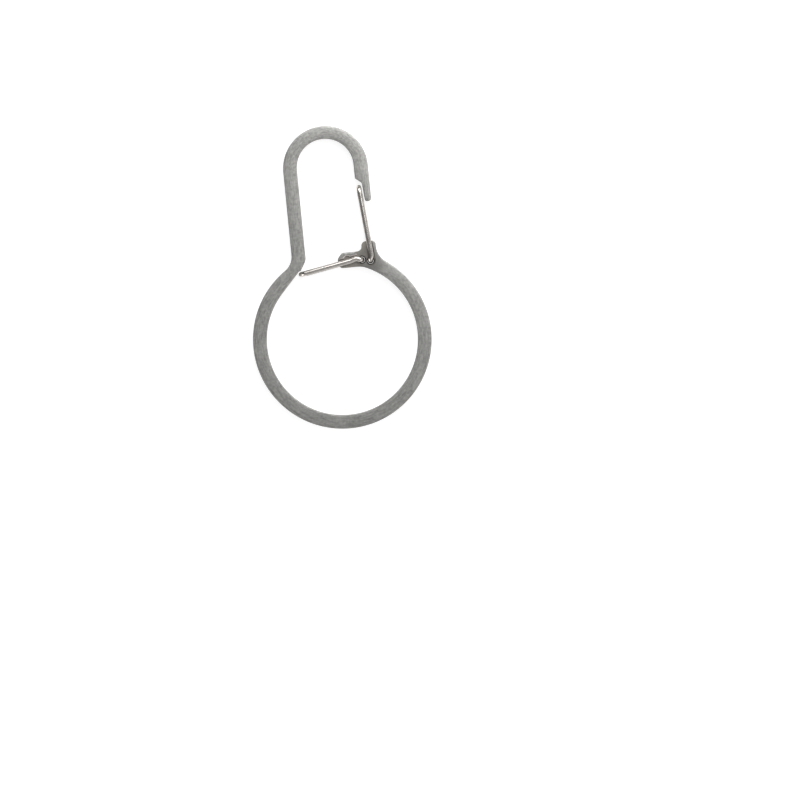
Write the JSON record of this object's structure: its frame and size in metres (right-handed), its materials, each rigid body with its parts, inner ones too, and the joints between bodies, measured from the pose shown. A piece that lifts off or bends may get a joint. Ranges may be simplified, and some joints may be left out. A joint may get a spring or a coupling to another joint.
{
  "type": "key carabiner",
  "caption": "Flat steel key carabiner with a hook and a ring as separate chambers, each closed by a sprung wire gate.",
  "frame": {"origin": "middle of the whole part, on the plate's mid-plane", "axes": "+Y along the spine towards the hook, +X towards the clip gate, +Z out of the front face"},
  "size_m": [0.0402, 0.0682, 0.0038],
  "materials": {
    "satin_steel": "satin, tumbled, with fine lengthwise grain",
    "polished_wire": "polished round steel wire"
  },
  "bodies": {
    "frame": {"frame": "satin_steel"},
    "clip_gate": {"clip_gate": "polished_wire"},
    "divider_gate": {"divider_gate": "polished_wire"}
  },
  "joints": [
    {"name": "clip_gate_hinge", "type": "hinge", "parent": "frame", "child": "clip_gate", "pos_m": [0.00805, 0.00296, 0], "axis": [0, 0, 1], "range_deg": [0, 40], "stiffness_Nm_per_rad": 0.02, "springref_deg": -8.59},
    {"name": "divider_gate_hinge", "type": "hinge", "parent": "frame", "child": "divider_gate", "pos_m": [0.00615, 0.00341, 0], "axis": [0, 0, 1], "range_deg": [0, 40], "stiffness_Nm_per_rad": 0.02, "springref_deg": -8.59}
  ]
}
